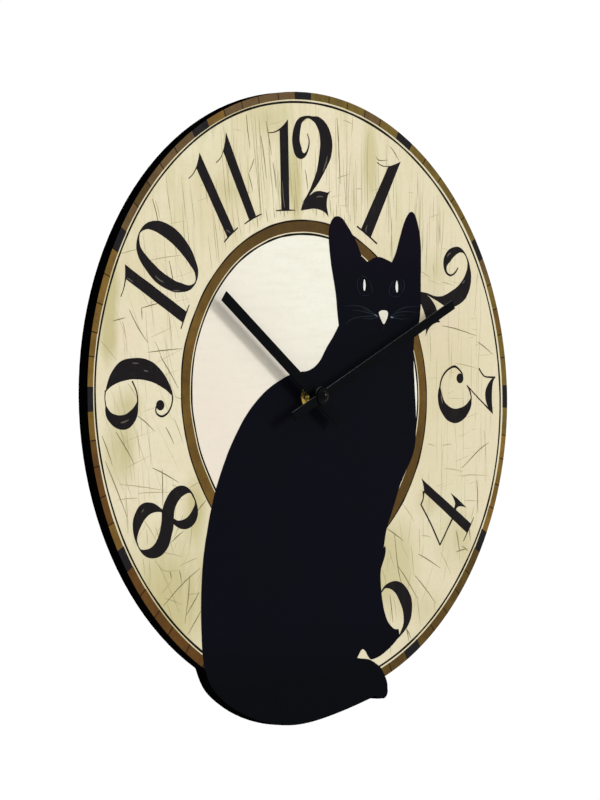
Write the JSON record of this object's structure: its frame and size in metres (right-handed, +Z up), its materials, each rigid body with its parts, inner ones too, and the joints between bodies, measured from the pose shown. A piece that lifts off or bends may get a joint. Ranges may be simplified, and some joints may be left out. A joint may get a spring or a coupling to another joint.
{
  "type": "wall clock",
  "caption": "Round wall clock on a flat board whose lower edge is the foot and tail of a printed seated black cat, with two straight hands and a battery quartz movement.",
  "frame": {"origin": "where the axis of the hands meets the wall plane, on the back face of the movement", "axes": "+X towards three o'clock, +Y into the wall, +Z up to twelve o'clock; the dial faces -Y"},
  "size_m": [0.33, 0.038, 0.3416],
  "materials": {
    "board": "fibreboard, painted and printed front, black painted edge",
    "gasket": "matt black",
    "brass": "turned and polished",
    "case_plastic": "moulded black",
    "steel": "zinc plated",
    "bridge_plastic": "moulded off-white",
    "magnet": "sintered",
    "gear_plastic": "moulded natural acetal",
    "knob_plastic": "moulded red",
    "copper_wire": "enamelled copper",
    "circuit_board": "solder mask",
    "chip_resin": "resin drop",
    "crystal_can": "nickel plated",
    "contact_metal": "nickel plated spring steel",
    "battery_shell": "printed sleeve",
    "hand_metal": "black painted",
    "cap_metal": "black glossy paint"
  },
  "bodies": {
    "clock_body": {"dial_board": "board", "rubber_gasket": "gasket", "threaded_bush": "brass", "dial_washer": "brass", "dial_nut": "brass", "movement_case": "case_plastic", "train_frame": "bridge_plastic", "back_cover": "case_plastic", "hanger_plate": "steel", "hanger_screws": "steel", "gear_bridge": "bridge_plastic", "bridge_screws": "steel", "stator_plate": "steel", "coil_core": "steel", "coil_bobbin": "bridge_plastic", "coil_winding": "copper_wire", "coil_screws": "steel", "circuit_board": "circuit_board", "control_chip": "chip_resin", "quartz_crystal": "crystal_can", "positive_contact": "contact_metal", "negative_contact": "contact_metal"},
    "minute_set": {"minute_hand": "hand_metal", "cap_nut": "cap_metal", "minute_arbor": "gear_plastic", "centre_wheel": "gear_plastic"},
    "hour_set": {"hour_hand": "hand_metal", "hour_wheel": "gear_plastic"},
    "minute_work": {"minute_work_wheel": "gear_plastic"},
    "knob": {"setting_knob": "knob_plastic"},
    "third": {"third_wheel": "gear_plastic"},
    "second": {"second_wheel": "gear_plastic"},
    "fifth": {"fifth_wheel": "gear_plastic"},
    "step_rotor": {"rotor": "magnet"},
    "cell": {"battery": "battery_shell"}
  },
  "joints": [
    {"name": "minute_turn", "type": "hinge", "parent": "clock_body", "child": "minute_set", "pos_m": [0, 0, 0], "axis": [0, 1, 0], "continuous": true},
    {"name": "hour_turn", "type": "hinge", "parent": "clock_body", "child": "hour_set", "pos_m": [0, 0, 0], "axis": [0, 1, 0], "continuous": true},
    {"name": "minute_work_turn", "type": "hinge", "parent": "clock_body", "child": "minute_work", "pos_m": [0.00948, 0, -0.0015], "axis": [0, 1, 0], "continuous": true},
    {"name": "knob_turn", "type": "hinge", "parent": "clock_body", "child": "knob", "pos_m": [0.01908, 0, -0.0015], "axis": [0, 1, 0], "continuous": true},
    {"name": "third_turn", "type": "hinge", "parent": "clock_body", "child": "third", "pos_m": [-0.00873, 0, 0.00504], "axis": [0, 1, 0], "continuous": true},
    {"name": "second_turn", "type": "hinge", "parent": "clock_body", "child": "second", "pos_m": [0, 0, 0], "axis": [0, 1, 0], "continuous": true},
    {"name": "fifth_turn", "type": "hinge", "parent": "clock_body", "child": "fifth", "pos_m": [0.00525, 0, 0.00909], "axis": [0, 1, 0], "continuous": true},
    {"name": "rotor_turn", "type": "hinge", "parent": "clock_body", "child": "step_rotor", "pos_m": [0.01034, 0, 0.01418], "axis": [0, 1, 0], "continuous": true},
    {"name": "battery_out", "type": "slide", "parent": "clock_body", "child": "cell", "axis": [0, 1, 0], "range_m": [0, 0.02]}
  ],
  "couplings": [
    {"joint": "hour_turn", "follows": "minute_turn", "ratio": 0.083333},
    {"joint": "minute_work_turn", "follows": "minute_turn", "ratio": -0.33333},
    {"joint": "knob_turn", "follows": "minute_turn", "ratio": 1},
    {"joint": "third_turn", "follows": "minute_turn", "ratio": -7.5},
    {"joint": "second_turn", "follows": "minute_turn", "ratio": 60},
    {"joint": "fifth_turn", "follows": "minute_turn", "ratio": -360},
    {"joint": "rotor_turn", "follows": "minute_turn", "ratio": 1800}
  ]
}
